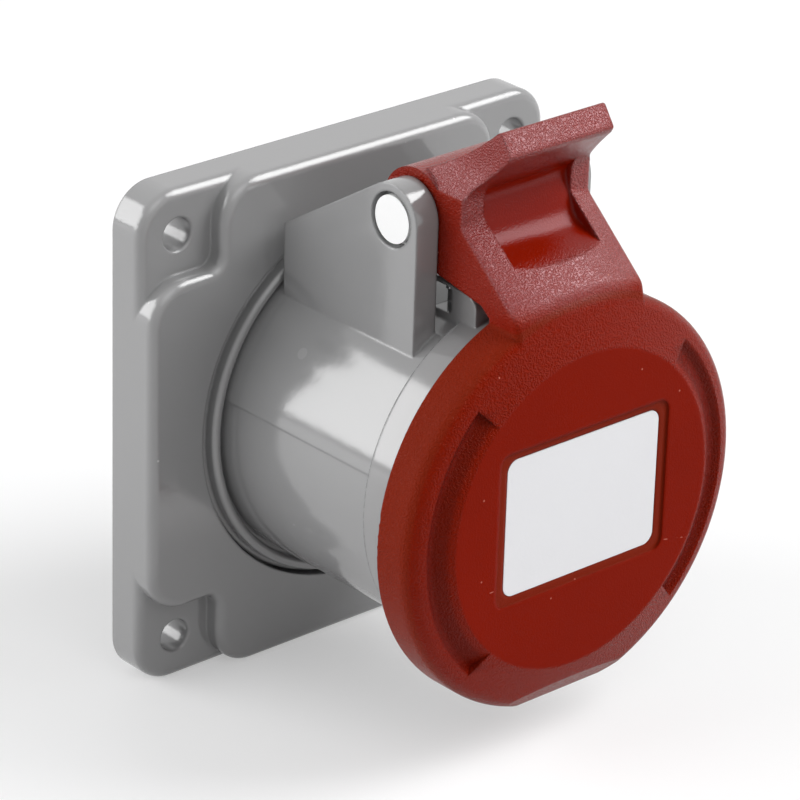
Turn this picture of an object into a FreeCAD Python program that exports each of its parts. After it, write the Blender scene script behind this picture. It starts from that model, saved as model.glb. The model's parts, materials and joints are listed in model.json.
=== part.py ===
import FreeCAD, Part
import Sketcher
import math
import os

# Industrial panel socket-outlet: a square mounting flange, a barrel with two hinge ears,
# a sprung hinged lid, and the contact insert inside. Millimetres, +Z up.
# The panel face is the plane y = 0 and the barrel axis runs along -Y from the origin.
# Distances forward of the panel are called s here, so a point at s lies at y = -s.

Vec = FreeCAD.Vector
doc = FreeCAD.newDocument("panel_socket")
sheet = doc.addObject("Spreadsheet::Sheet", "Dims")

SIZES = [
    ("flange_half", 42.5, "half the side of the square flange"),
    ("flange_round", 7.0, "corner radius of the flange outline"),
    ("notch_depth", 3.3, "how far the flange is thinner at its four corners"),
    ("field_depth", 10.0, "thickness of the raised field"),
    ("notch_width", 14.1, "width of a corner notch"),
    ("notch_flare", 7.0, "convex radius at the ends of a notch wall"),
    ("notch_round", 2.5, "concave radius in the corner of a notch"),
    ("edge_round", 1.6, "rounding of the front edges of the flange"),
    ("hole_margin", 7.5, "distance of a fixing hole from the sides of the flange"),
    ("hole_radius", 2.75, "radius of a fixing hole"),
    ("hole_rim", 0.4, "rounding of the rim of a fixing hole"),
    ("boss_radius", 5.5, "radius of the boss behind a fixing hole"),
    ("core_depth", 4.0, "depth of the corner hollows in the back of the flange"),
    ("core_land", 2.0, "width of the land between gasket groove and corner hollow"),
    ("core_wall", 2.2, "outer wall of a corner hollow"),
    ("core_end", 15.0, "where a corner hollow stops along the flange side"),
    ("web_thick", 1.6, "thickness of the web that the barrel collar rests on"),
    ("web_back", 2.4, "back face of the web, where the lock lugs bear"),
    ("lug_room", 0.4, "radial room round the lock lugs"),
    ("gasket_margin", 2.1, "distance of the panel gasket groove from the collar"),
    ("gasket_width", 3.4, "width of the panel gasket groove"),
    ("gasket_depth", 1.8, "depth of the panel gasket groove"),
    ("tail_step", 0.4, "how far the barrel is wider behind the collar"),
    ("tail_back", 8.0, "how far the barrel reaches behind the panel face"),
    ("tail_gap", 0.3, "radial gap between barrel and flange"),
    ("collar_width", 2.9, "radial width of the barrel collar"),
    ("collar_thick", 5.0, "thickness of the barrel collar"),
    ("bead_rise", 2.3, "height of the round bead on the collar"),
    ("bead_inset", 0.9, "distance of the bead from the rim of the collar"),
    ("bead_gap", 0.7, "distance of the bead from the barrel"),
    ("bead_round", 0.8, "rounding of the bead"),
    ("seal_margin", 1.0, "distance of the barrel seal from the barrel"),
    ("seal_width", 1.3, "radial width of the barrel seal"),
    ("seal_depth", 1.2, "thickness of the barrel seal"),
    ("lug_high", 2.1, "height of a lock lug"),
    ("lug_half", 10.0, "half angle of a lock lug"),
    ("lug_play", 3.0, "how much wider a lug notch is, each side, in degrees"),
    ("lug_thick", 2.0, "thickness of a lock lug"),
    ("barrel_wall", 2.2, "wall of the barrel"),
    ("crease_step", 0.25, "how far the upper shell stands above the lower one"),
    ("crease_half", 77.5, "half angle of the upper shell"),
    ("ring_rise", 1.1, "how far the front ring stands above the barrel"),
    ("ring_long", 9.6, "length of the front ring"),
    ("barrel_front", 55.0, "front end of the barrel"),
    ("bore_radius", 26.4, "bore of the barrel, where the plug enters"),
    ("entry_step", 1.1, "how much wider the bore is inside the front ring"),
    ("entry_inset", 0.6, "distance of that step from the back of the front ring"),
    ("mouth_chamfer", 0.6, "chamfer at the mouth of the barrel"),
    ("key_half", 2.6, "half width of the keyway"),
    ("key_depth", 1.1, "depth of the keyway"),
    ("key_back", 20.0, "back end of the keyway"),
    ("tail_wall", 2.0, "wall of the barrel behind its shoulder"),
    ("shoulder_front", 6.0, "front face of the inner shoulder"),
    ("ear_out", 18.1, "outer face of an ear from the middle"),
    ("ear_thick", 4.4, "thickness of an ear"),
    ("ear_gap", 1.0, "distance of an ear from the bead"),
    ("heel_rise", 6.0, "top of the back edge of an ear above the barrel"),
    ("ear_round", 5.9, "radius of an ear about the hinge"),
    ("hinge_setback", 17.9, "hinge axis, behind the front end of the barrel"),
    ("hinge_rise", 14.7, "hinge axis, above the barrel"),
    ("pin_radius", 2.0, "radius of the hinge pin"),
    ("press_gap", 0.02, "gap of the hinge pin in the ears"),
    ("running_gap", 0.06, "radial running gap of the lid on its pin"),
    ("seat_rim", 2.5, "how far the cap seat in an ear is wider than the pin"),
    ("seat_depth", 2.2, "depth of the cap seat"),
    ("cap_gap", 0.65, "gap round a pin cap in its seat"),
    ("cap_thick", 2.0, "thickness of a pin cap"),
    ("block_inset", 2.3, "how far the spring block is narrower than the lid arm, each side"),
    ("block_behind", 6.2, "back of the spring block, behind the front ring"),
    ("block_long", 10.0, "length of the spring block"),
    ("block_rise", 3.6, "top of the spring block above the front ring"),
    ("block_fall", 1.3, "how far the top of the block falls to the front"),
    ("leg_pocket", 3.2, "depth of the spring leg pocket in a side of the block"),
    ("pocket_long", 4.4, "length of the spring leg pocket"),
    ("pocket_high", 4.4, "height of the spring leg pocket"),
    ("pocket_roof", 0.9, "wall above the spring leg pocket"),
    ("leg_ledge", 1.2, "wall beside the slot of a spring leg"),
    ("lid_drop", 1.0, "how far the lid axis lies below the barrel axis"),
    ("lid_room", 0.7, "room between the lid skirt and the front ring"),
    ("lid_wall", 2.8, "wall of the lid skirt"),
    ("skirt_over", 1.2, "how far the lid skirt reaches over the barrel"),
    ("rim_ahead", 6.1, "front of the lid at its rim, ahead of the barrel"),
    ("rim_round", 2.6, "rounding of the lid rim"),
    ("face_ahead", 8.2, "front face of the lid, ahead of the barrel"),
    ("face_margin", 7.8, "width of the sloped rim round the flat lid face"),
    ("face_round", 1.5, "rounding of the edge of the lid face"),
    ("groove_wide", 3.3, "width of the inner slope of an arc groove"),
    ("groove_lip", 1.5, "width of the outer slope of an arc groove"),
    ("groove_deep", 2.05, "depth of an arc groove below the lid face"),
    ("groove_round", 0.8, "rounding of the bottom of an arc groove"),
    ("groove_span", 46.0, "half angle of an arc groove"),
    ("flat_cut", 1.2, "how much the flat takes off the bottom of the lid"),
    ("bevel_high", 4.6, "height of the bevel above the flat"),
    ("bevel_deep", 3.6, "depth of the bevel behind the lid face"),
    ("seat_ahead", 3.0, "face that the lid gasket is glued to, ahead of the barrel"),
    ("seat_inset", 0.8, "how far that face reaches inside the bore"),
    ("roof_thick", 2.8, "thickness of the lid roof"),
    ("label_wide", 31.8, "width of the label plate"),
    ("label_high", 23.2, "height of the label plate"),
    ("label_thick", 0.8, "thickness of the label plate"),
    ("label_round", 2.0, "corner radius of the label plate"),
    ("label_gap", 0.1, "gap round the label plate"),
    ("window_side", 1.8, "window margin at the sides of the label"),
    ("window_edge", 1.4, "window margin above and below the label"),
    ("window_depth", 0.4, "depth of the label window"),
    ("window_round", 2.0, "corner radius of the label window"),
    ("arm_gap", 0.4, "gap between the lid arm and an ear"),
    ("arm_edge", 0.9, "rounding of the long edges of the arm"),
    ("knuckle_radius", 7.2, "radius of the arm about the hinge"),
    ("brow_reach", 10.8, "front of the arm below the tab, forward of the hinge"),
    ("brow_rise", 6.1, "top of the front of the arm, above the hinge"),
    ("slope_rise", 2.4, "where the slope of the arm starts, above the hinge"),
    ("slope_round", 1.2, "rounding where the slope starts"),
    ("bend_out", 2.0, "arched end of the slope, outside the lid skirt"),
    ("bend_round", 2.5, "rounding of that arched end"),
    ("tab_inset", 2.7, "how far the lifting tab is narrower than the arm, each side"),
    ("tab_flare", 7.6, "height over which the tab widens to the arm"),
    ("tab_reach", 15.5, "back edge of the tab end, forward of the hinge"),
    ("tab_rise", 17.3, "back edge of the tab end, above the hinge"),
    ("tab_sweep", 60.0, "radius of the hollow top of the tab"),
    ("tab_edge", 0.6, "rounding of the edges of the tab end"),
    ("lip_reach", 17.9, "front edge of the tab end, forward of the hinge"),
    ("lip_rise", 13.8, "front edge of the tab end, above the hinge"),
    ("fold_round", 4.0, "rounding of the fold under the tab"),
    ("cheek_wide", 4.4, "width of the arm beside the finger scoop"),
    ("bay_side", 4.0, "wall of the arm beside the spring bay"),
    ("knuckle_wall", 1.7, "wall of the arm round the spring bay"),
    ("wire_radius", 0.6, "radius of the spring wire"),
    ("coil_gap", 0.8, "gap between a spring and the pin"),
    ("coil_pitch", 1.35, "pitch of a spring"),
    ("coil_turns", 4.0, "turns of a spring"),
    ("coil_inner", 2.4, "inner end of a spring from the middle"),
    ("lid_leg", 6.2, "length of the spring leg that pushes the lid"),
    ("leg_clear", 2.7, "distance of the lower spring leg from the floor of its pocket"),
    ("leg_room", 0.35, "room round a spring leg in its slots"),
    ("lid_seal_inset", 1.1, "how far the lid gasket stands outside the edge of its seat"),
    ("lid_seal_room", 0.8, "room between the lid gasket and the lid skirt"),
    ("lid_seal_gap", 0.3, "gap between lid gasket and barrel"),
    ("shroud_space", 5.4, "space round the contact tower for the shroud of the plug"),
    ("tower_setback", 13.0, "front face of the contact tower, behind the end of the barrel"),
    ("tower_gap", 0.4, "radial gap between tower and shoulder"),
    ("insert_gap", 0.3, "radial gap between the insert and the barrel tail"),
    ("insert_thick", 3.0, "thickness of the flange that holds the insert"),
    ("block_depth", 17.0, "depth of the terminal block"),
    ("block_step", 0.5, "how far the terminal block is wider than the tower"),
    ("block_floor", 2.0, "wall behind the contacts in the terminal block"),
    ("contact_ring", 12.0, "radius of the circle the contacts stand on"),
    ("phase_outer", 3.5, "outer radius of a phase sleeve"),
    ("phase_bore", 2.55, "bore of a phase sleeve"),
    ("earth_outer", 4.6, "outer radius of the earth sleeve"),
    ("earth_bore", 3.55, "bore of the earth sleeve"),
    ("pin_gap", 0.3, "radial gap of a pin entry round its pin"),
    ("entry_depth", 1.5, "depth of the pin entries in the tower face"),
    ("sleeve_gap", 0.05, "gap of a sleeve in its hole"),
    ("sleeve_root", 14.0, "front end of the thicker root of a sleeve"),
    ("sleeve_depth", 24.0, "depth of a sleeve bore"),
    ("slit_width", 0.8, "width of the slits in a sleeve"),
    ("slit_depth", 14.0, "length of the slits in a sleeve"),
    ("clip_thick", 0.5, "thickness of a clip ring"),
    ("clip_length", 6.0, "length of a clip ring"),
    ("clip_place", 9.5, "back edge of a clip ring, behind the end of a sleeve"),
    ("clip_room", 0.2, "room round a clip ring"),
    ("wire_bore", 2.0, "radius of the wire entry in a terminal"),
    ("wire_depth", 12.0, "depth of the wire entry in a terminal"),
    ("screw_place", 10.0, "terminal screws, behind the panel face"),
    ("screw_radius", 1.5, "thread radius of a terminal screw"),
    ("head_radius", 2.4, "head radius of a terminal screw"),
    ("head_high", 1.8, "head height of a terminal screw"),
    ("head_lift", 0.2, "gap under the head of a terminal screw"),
    ("head_room", 0.3, "radial room round the head of a terminal screw"),
    ("plate_thick", 0.8, "thickness of a clamp plate"),
    ("plate_wide", 2.4, "width of a clamp plate"),
    ("plate_long", 5.0, "length of a clamp plate"),
    ("fixing_margin", 3.0, "distance of the insert screws from the tower"),
    ("fixing_radius", 1.1, "thread radius of an insert screw"),
    ("fixing_head", 1.9, "head radius of an insert screw"),
    ("fixing_high", 1.4, "head height of an insert screw"),
    ("fixing_length", 7.5, "shank length of an insert screw"),
    ("tie_margin", 3.6, "distance of the terminal block screws inside the tower wall"),
    ("tie_radius", 1.25, "thread radius of a terminal block screw"),
    ("tie_head", 2.2, "head radius of a terminal block screw"),
    ("tie_high", 1.8, "head height of a terminal block screw"),
    ("tie_sink", 2.2, "depth of the seat of a terminal block screw"),
    ("tie_grip", 5.0, "how far a terminal block screw reaches into the tower"),
    ("slot_width", 0.7, "width of a screw slot"),
    ("slot_depth", 0.8, "depth of a screw slot"),
]

VALUES = {}
for row, (alias, number, note) in enumerate(SIZES, 1):
    sheet.set("A%d" % row, alias)
    sheet.set("B%d" % row, str(number))
    sheet.set("C%d" % row, note)
    sheet.setAlias("B%d" % row, alias)
    VALUES[alias] = number
doc.recompute()


class Size:
    """A number together with the spreadsheet formula that gives it."""

    def __init__(self, value, text=None):
        self.value = float(value)
        self.text = text or "%.9f" % value

    def __add__(self, other):
        other = size(other)
        return Size(self.value + other.value, "(%s + %s)" % (self.text, other.text))

    __radd__ = __add__

    def __sub__(self, other):
        other = size(other)
        return Size(self.value - other.value, "(%s - %s)" % (self.text, other.text))

    def __rsub__(self, other):
        return size(other) - self

    def __mul__(self, other):
        other = size(other)
        return Size(self.value * other.value, "(%s * %s)" % (self.text, other.text))

    __rmul__ = __mul__

    def __truediv__(self, other):
        return self * (1.0 / other)

    def __neg__(self):
        return Size(-self.value, "(0 - %s)" % self.text)

    def __float__(self):
        return self.value


def size(number):
    return number if isinstance(number, Size) else Size(number)


def dim(alias):
    return Size(VALUES[alias], "Dims." + alias)


# Sketches and features

def new_body(label):
    body = doc.addObject("PartDesign::Body", label)
    return body


def origin_plane(body, role):
    for feature in body.Origin.OriginFeatures:
        if feature.Role == role:
            return feature
    raise RuntimeError("no plane " + role)


def new_sketch(body, name, role, lift=0.0):
    sketch = body.newObject("Sketcher::SketchObject", name)
    sketch.AttachmentSupport = [(origin_plane(body, role), "")]
    sketch.MapMode = "FlatFace"
    sketch.setExpression("AttachmentOffset.Base.z", size(lift).text)
    return sketch


def rounded_corner(before, corner, after, radius):
    """Tangent points and centre of the arc that rounds a corner."""
    ax, ay = before[0] - corner[0], before[1] - corner[1]
    bx, by = after[0] - corner[0], after[1] - corner[1]
    la, lb = math.hypot(ax, ay), math.hypot(bx, by)
    ax, ay, bx, by = ax / la, ay / la, bx / lb, by / lb
    half_angle = math.acos(max(-1.0, min(1.0, ax * bx + ay * by))) / 2
    run = radius / math.tan(half_angle)
    start = (corner[0] + ax * run, corner[1] + ay * run)
    end = (corner[0] + bx * run, corner[1] + by * run)
    mx, my = ax + bx, ay + by
    reach = radius / math.sin(half_angle) / math.hypot(mx, my)
    centre = (corner[0] + mx * reach, corner[1] + my * reach)
    turn = 1 if ax * by - ay * bx < 0 else -1
    return start, end, centre, turn


def segments(points):
    """Turns a closed list of points into lines and arcs.

    A point is (x, y), (x, y, radius) for a rounded corner, or
    (x, y, centre x, centre y, turn) for an arc that ends there, turn 1 being anticlockwise.
    """
    count = len(points)
    flat = [(float(p[0]), float(p[1])) for p in points]
    pieces = []
    here = None
    first = None
    for i, point in enumerate(points):
        if len(point) == 3:
            start, end, centre, turn = rounded_corner(flat[i - 1], flat[i], flat[(i + 1) % count],
                                                      float(point[2]))
            if here is not None:
                pieces.append(("line", here, start))
            else:
                first = start
            pieces.append(("arc", start, end, centre, turn))
            here = end
        else:
            place = (point[0], point[1])
            if here is None:
                first = place
            elif len(point) == 5:
                pieces.append(("arc", here, place, (point[2], point[3]), point[4]))
            else:
                pieces.append(("line", here, place))
            here = place
    gap = math.hypot(float(here[0]) - float(first[0]), float(here[1]) - float(first[1]))
    if gap > 1e-7:
        pieces.append(("line", here, first))
    return pieces


def limit(sketch, kind, geometry, end, number):
    """Fixes one coordinate of a point, through the sheet where it comes from there."""
    number = size(number)
    if abs(number.value) < 1e-9:
        axis = -2 if kind == "DistanceX" else -1
        sketch.addConstraint(Sketcher.Constraint("PointOnObject", geometry, end, axis))
        return
    index = sketch.addConstraint(Sketcher.Constraint(kind, -1, 1, geometry, end, number.value))
    if "Dims" in number.text:
        sketch.setExpression("Constraints[%d]" % index, number.text)


def outline(sketch, points):
    """Adds one closed outline, every point of it fixed."""
    pieces = segments(points)
    first = sketch.GeometryCount
    shapes = []
    ends = []
    for piece in pieces:
        x0, y0 = float(piece[1][0]), float(piece[1][1])
        x1, y1 = float(piece[2][0]), float(piece[2][1])
        if piece[0] == "line":
            shapes.append(Part.LineSegment(Vec(x0, y0, 0), Vec(x1, y1, 0)))
            ends.append((1, 2))
            continue
        cx, cy, turn = float(piece[3][0]), float(piece[3][1]), piece[4]
        a0 = math.atan2(y0 - cy, x0 - cx)
        a1 = math.atan2(y1 - cy, x1 - cx)
        if turn < 0:
            a0, a1 = a1, a0
        if a1 < a0:
            a1 += 2 * math.pi
        ring_shape = Part.Circle(Vec(cx, cy, 0), Vec(0, 0, 1), math.hypot(x0 - cx, y0 - cy))
        shapes.append(Part.ArcOfCircle(ring_shape, a0, a1))
        ends.append((1, 2) if turn > 0 else (2, 1))
    sketch.addGeometry(shapes, False)
    count = len(shapes)
    for i in range(count):
        j = (i + 1) % count
        sketch.addConstraint(Sketcher.Constraint("Coincident", first + i, ends[i][1],
                                                 first + j, ends[j][0]))
    for i, piece in enumerate(pieces):
        limit(sketch, "DistanceX", first + i, ends[i][0], piece[1][0])
        limit(sketch, "DistanceY", first + i, ends[i][0], piece[1][1])
        if piece[0] == "arc" and not half_turn(piece, shapes[i].Radius):
            sketch.addConstraint(Sketcher.Constraint("Radius", first + i, shapes[i].Radius))


def half_turn(piece, radius):
    """A half circle is fixed by its ends alone."""
    wide = float(piece[2][0]) - float(piece[1][0])
    high = float(piece[2][1]) - float(piece[1][1])
    return math.hypot(wide, high) > 1.99 * radius


def disc(sketch, x, y, radius):
    """Adds one circle."""
    first = sketch.GeometryCount
    radius = size(radius)
    sketch.addGeometry([Part.Circle(Vec(float(x), float(y), 0), Vec(0, 0, 1), radius.value)], False)
    limit(sketch, "DistanceX", first, 3, x)
    limit(sketch, "DistanceY", first, 3, y)
    index = sketch.addConstraint(Sketcher.Constraint("Radius", first, radius.value))
    if "Dims" in radius.text:
        sketch.setExpression("Constraints[%d]" % index, radius.text)


def sector(inner, outer, middle, spread):
    """Outline of a ring sector, angles in degrees."""
    low, high = math.radians(middle - spread), math.radians(middle + spread)
    inner, outer = float(inner), float(outer)
    return [
        (inner * math.cos(low), inner * math.sin(low)),
        (outer * math.cos(low), outer * math.sin(low)),
        (outer * math.cos(high), outer * math.sin(high), 0, 0, 1),
        (inner * math.cos(high), inner * math.sin(high)),
        (inner * math.cos(low), inner * math.sin(low), 0, 0, -1),
    ]


def feature(body, kind, name, sketch, length, middle=False):
    """Pads forward of the sketch, or pockets behind it."""
    item = body.newObject("PartDesign::" + kind, name)
    item.Profile = sketch
    item.setExpression("Length", size(length).text)
    if middle:
        item.SideType = "Symmetric"
    doc.recompute()
    return item


def turned(body, kind, name, sketch):
    """Revolves a sketch about its vertical axis, which is the barrel's direction."""
    item = body.newObject("PartDesign::" + kind, name)
    item.Profile = sketch
    item.ReferenceAxis = (sketch, ["V_Axis"])
    item.Angle = 360.0
    doc.recompute()
    return item


def forward(points):
    """Outline points (radius or x, s) as sketch points on the XY plane."""
    return [(p[0], -size(p[1])) + tuple(flip_arc(p)) for p in points]


def sideways(points):
    """Outline points (s, z) as sketch points on the YZ plane."""
    result = []
    for p in points:
        extra = ()
        if len(p) == 3:
            extra = (p[2],)
        elif len(p) == 5:
            extra = (-size(p[2]), p[3], -p[4])
        result.append((-size(p[0]), p[1]) + extra)
    return result


def flip_arc(point):
    if len(point) == 3:
        return (point[2],)
    if len(point) == 5:
        return (point[2], -size(point[3]), -point[4])
    return ()


def repeat(body, name, items, sketch, count):
    """Repeats features round the barrel axis."""
    pattern = body.newObject("PartDesign::PolarPattern", name)
    pattern.Originals = items
    pattern.Axis = (sketch, ["N_Axis"])
    pattern.Angle = 360.0
    pattern.Occurrences = count
    body.Tip = pattern
    doc.recompute()
    return pattern


def mirrored(body, name, items):
    """Repeats features on the other side of the middle."""
    pattern = body.newObject("PartDesign::Mirrored", name)
    pattern.Originals = items
    pattern.MirrorPlane = (origin_plane(body, "YZ_Plane"), [""])
    body.Tip = pattern
    doc.recompute()
    return pattern


def fillet(body, name, radius, keep):
    """Rounds each edge of the body that the test keeps."""
    base = body.Tip
    names = []
    for i, edge in enumerate(base.Shape.Edges, 1):
        if keep(edge):
            names.append("Edge%d" % i)
    item = body.newObject("PartDesign::Fillet", name)
    item.Base = (base, names)
    item.setExpression("Radius", size(radius).text)
    doc.recompute()
    return item


NEAR = 1e-4


def at_depth(s):
    """Picks edges that lie wholly in the plane at this distance from the panel."""
    def keep(edge):
        box = edge.BoundBox
        return abs(box.YMin + float(s)) < NEAR and abs(box.YMax + float(s)) < NEAR
    return keep


# Plain solids

def rod(name, radius, back, front, x=0.0, z=0.0):
    """Cylinder along the barrel's direction, from back to front."""
    item = doc.addObject("Part::Cylinder", name)
    item.Placement = FreeCAD.Placement(Vec(0, 0, 0), FreeCAD.Rotation(Vec(1, 0, 0), 90))
    item.setExpression("Radius", size(radius).text)
    item.setExpression("Height", (size(front) - back).text)
    item.setExpression("Placement.Base.x", size(x).text)
    item.setExpression("Placement.Base.y", (-size(back)).text)
    item.setExpression("Placement.Base.z", size(z).text)
    return item


def cross_rod(name, radius, left, right, s, z):
    """Cylinder along X."""
    item = doc.addObject("Part::Cylinder", name)
    item.Placement = FreeCAD.Placement(Vec(0, 0, 0), FreeCAD.Rotation(Vec(0, 1, 0), 90))
    item.setExpression("Radius", size(radius).text)
    item.setExpression("Height", (size(right) - left).text)
    item.setExpression("Placement.Base.x", size(left).text)
    item.setExpression("Placement.Base.y", (-size(s)).text)
    item.setExpression("Placement.Base.z", size(z).text)
    return item


def brick(name, x0, x1, s0, s1, z0, z1):
    item = doc.addObject("Part::Box", name)
    item.setExpression("Length", (size(x1) - x0).text)
    item.setExpression("Width", (size(s1) - s0).text)
    item.setExpression("Height", (size(z1) - z0).text)
    item.setExpression("Placement.Base.x", size(x0).text)
    item.setExpression("Placement.Base.y", (-size(s1)).text)
    item.setExpression("Placement.Base.z", size(z0).text)
    return item


def joined(name, items):
    result = doc.addObject("Part::MultiFuse", name)
    result.Shapes = items
    result.Refine = True
    doc.recompute()
    return result


def cut(name, base, tool):
    result = doc.addObject("Part::Cut", name)
    result.Base = base
    result.Tool = tool
    result.Refine = True
    doc.recompute()
    return result


def ring(name, outer, inner, back, front, x=0.0, z=0.0):
    """Tube along the barrel's direction."""
    hole = rod(name + "_hole", inner, size(back) - 1, size(front) + 1, x, z)
    return cut(name, rod(name + "_disc", outer, back, front, x, z), hole)


NODES = []


def keep_node(label, item):
    item.Label = label
    NODES.append((label, item))
    return item


# Direction of the first lug notch in the flange, in degrees. The lugs turn past it to lock.
LUG_TURN = 30.0

half = dim("flange_half")

# Depths, forward of the panel
plate_front = dim("field_depth") - dim("notch_depth")
web_front = dim("web_back") + dim("web_thick")
collar_front = web_front + dim("collar_thick")
bead_front = collar_front + dim("bead_rise")
barrel_front = dim("barrel_front")
ring_back = barrel_front - dim("ring_long")
hinge_s = barrel_front - dim("hinge_setback")
tower_front = barrel_front - dim("tower_setback")
sleeve_front = tower_front - dim("entry_depth")
block_back = ring_back - dim("block_behind")
pocket_front = block_back + dim("pocket_long")
skirt_back = barrel_front - dim("skirt_over")
lid_seat = barrel_front + dim("seat_ahead")
rim_front = barrel_front + dim("rim_ahead")
face_front = barrel_front + dim("face_ahead")
brow_front = hinge_s + dim("brow_reach")

# Radii about the barrel axis
barrel_radius = dim("bore_radius") + dim("barrel_wall")
tail_radius = barrel_radius + dim("tail_step")
tail_bore = tail_radius - dim("tail_wall")
seal_inner = tail_radius + dim("seal_margin")
lug_radius = tail_radius + dim("lug_high")
collar_radius = tail_radius + dim("collar_width")
gasket_inner = collar_radius + dim("gasket_margin")
gasket_outer = gasket_inner + dim("gasket_width")
ring_radius = barrel_radius + dim("ring_rise")
entry_radius = dim("bore_radius") + dim("entry_step")
tower_radius = dim("bore_radius") - dim("shroud_space")
fixing_ring = tower_radius + dim("fixing_margin")
tie_ring = tower_radius - dim("tie_margin")

# Radii about the lid axis
lid_cavity = ring_radius + dim("lid_drop") + dim("lid_room")
lid_radius = lid_cavity + dim("lid_wall")
face_radius = lid_radius - dim("face_margin")
bend_radius = lid_radius + dim("bend_out")

# Heights above the barrel axis
hinge_z = barrel_radius + dim("hinge_rise")
block_top = ring_radius + dim("block_rise")
pocket_top = block_top - dim("pocket_roof")
pocket_floor = pocket_top - dim("pocket_high")
slope_top = hinge_z + dim("slope_rise")

# Half widths about the middle
ear_inside = dim("ear_out") - dim("ear_thick")
arm_half = ear_inside - dim("arm_gap")
block_half = arm_half - dim("block_inset")
scoop_half = arm_half - dim("cheek_wide")
coil_radius = dim("pin_radius") + dim("coil_gap") + dim("wire_radius")
leg_s = hinge_s + coil_radius
leg_reach = dim("wire_radius") + dim("leg_room")


# Mounting flange: plate, raised field with four corner notches, bored for the barrel

def mounting_flange():
    body = new_body("mounting_flange")
    plate = new_sketch(body, "PlateSketch", "XZ_Plane")
    corner = dim("flange_round")
    outline(plate, [(half, -half, corner), (half, half, corner),
                    (-half, half, corner), (-half, -half, corner)])
    feature(body, "Pad", "Plate", plate, plate_front)
    fillet(body, "PlateEdge", dim("edge_round"), at_depth(plate_front))

    field = new_sketch(body, "FieldSketch", "XZ_Plane")
    wall = half - dim("notch_width")
    flare = dim("notch_flare")
    hollow = dim("notch_round")
    outline(field, [
        (half, -wall, flare), (half, wall, flare), (wall, wall, hollow),
        (wall, half, flare), (-wall, half, flare), (-wall, wall, hollow),
        (-half, wall, flare), (-half, -wall, flare), (-wall, -wall, hollow),
        (-wall, -half, flare), (wall, -half, flare), (wall, -wall, hollow),
    ])
    feature(body, "Pad", "Field", field, dim("field_depth"))
    fillet(body, "FieldEdge", dim("edge_round"), at_depth(dim("field_depth")))

    core = new_sketch(body, "CoreSketch", "XZ_Plane", dim("core_depth"))
    inner, outer, end = gasket_outer + dim("core_land"), half - dim("core_wall"), dim("core_end")
    meet = math.sqrt(float(inner) ** 2 - float(end) ** 2)
    outline(core, [(meet, end), (outer, end), (outer, outer, corner - dim("core_wall")),
                   (end, outer), (end, meet), (meet, end, 0, 0, -1)])
    core_cut = feature(body, "Pocket", "Core", core, dim("core_depth"))
    boss = new_sketch(body, "BossSketch", "XZ_Plane")
    place = half - dim("hole_margin")
    disc(boss, place, place, dim("boss_radius"))
    boss_pad = feature(body, "Pad", "Boss", boss, dim("core_depth"))
    repeat(body, "Corners", [core_cut, boss_pad], core, 4)

    hole = new_sketch(body, "HoleSketch", "XZ_Plane", plate_front)
    disc(hole, place, place, dim("hole_radius"))
    hole_cut = feature(body, "Pocket", "Hole", hole, plate_front)
    repeat(body, "Holes", [hole_cut], hole, 4)

    def hole_rim(edge):
        wide = edge.BoundBox.XLength
        return at_depth(plate_front)(edge) and abs(wide - 2 * float(dim("hole_radius"))) < NEAR

    fillet(body, "HoleRims", dim("hole_rim"), hole_rim)

    opening = new_sketch(body, "OpeningSketch", "XY_Plane")
    through = tail_radius + dim("tail_gap")
    recess = lug_radius + dim("lug_room")
    collar = collar_radius + dim("tail_gap")
    beyond = dim("field_depth") + 1
    outline(opening, forward([
        (0, -1), (recess, -1), (recess, dim("web_back")), (through, dim("web_back")),
        (through, web_front), (collar, web_front), (collar, beyond), (0, beyond),
    ]))
    depth = dim("gasket_depth")
    outline(opening, forward([(gasket_inner, -1), (gasket_outer, -1),
                              (gasket_outer, depth), (gasket_inner, depth)]))
    turned(body, "Groove", "Opening", opening)

    notch = new_sketch(body, "LugNotchSketch", "XZ_Plane", web_front)
    spread = VALUES["lug_half"] + VALUES["lug_play"]
    outline(notch, sector(through - 1, lug_radius + dim("tail_gap"), LUG_TURN, spread))
    notch_cut = feature(body, "Pocket", "LugNotch", notch, web_front)
    repeat(body, "LugNotches", [notch_cut], notch, 3)
    keep_node("mounting_flange", body)


# Barrel with its collar, lock lugs, hinge ears, spring block and front ring

def ear_profile():
    """Side view of an ear: heel, sloped top that meets the hinge rounding, upright front."""
    back, heel, radius = bead_front + dim("ear_gap"), barrel_radius + dim("heel_rise"), dim("ear_round")
    ds, dz = float(hinge_s - back), float(hinge_z - heel)
    slope = math.atan2(dz, ds) + math.asin(float(radius) / math.hypot(ds, dz))
    touch = (hinge_s - radius * math.sin(slope), hinge_z + radius * math.cos(slope))
    front = hinge_s + radius
    return [(back, wall_foot), (back, heel), touch, (front, hinge_z, hinge_s, hinge_z, -1),
            (front, wall_foot)]


# What stands on the barrel starts inside it, where the bore cuts it off
wall_foot = dim("bore_radius") * 0.8


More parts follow.
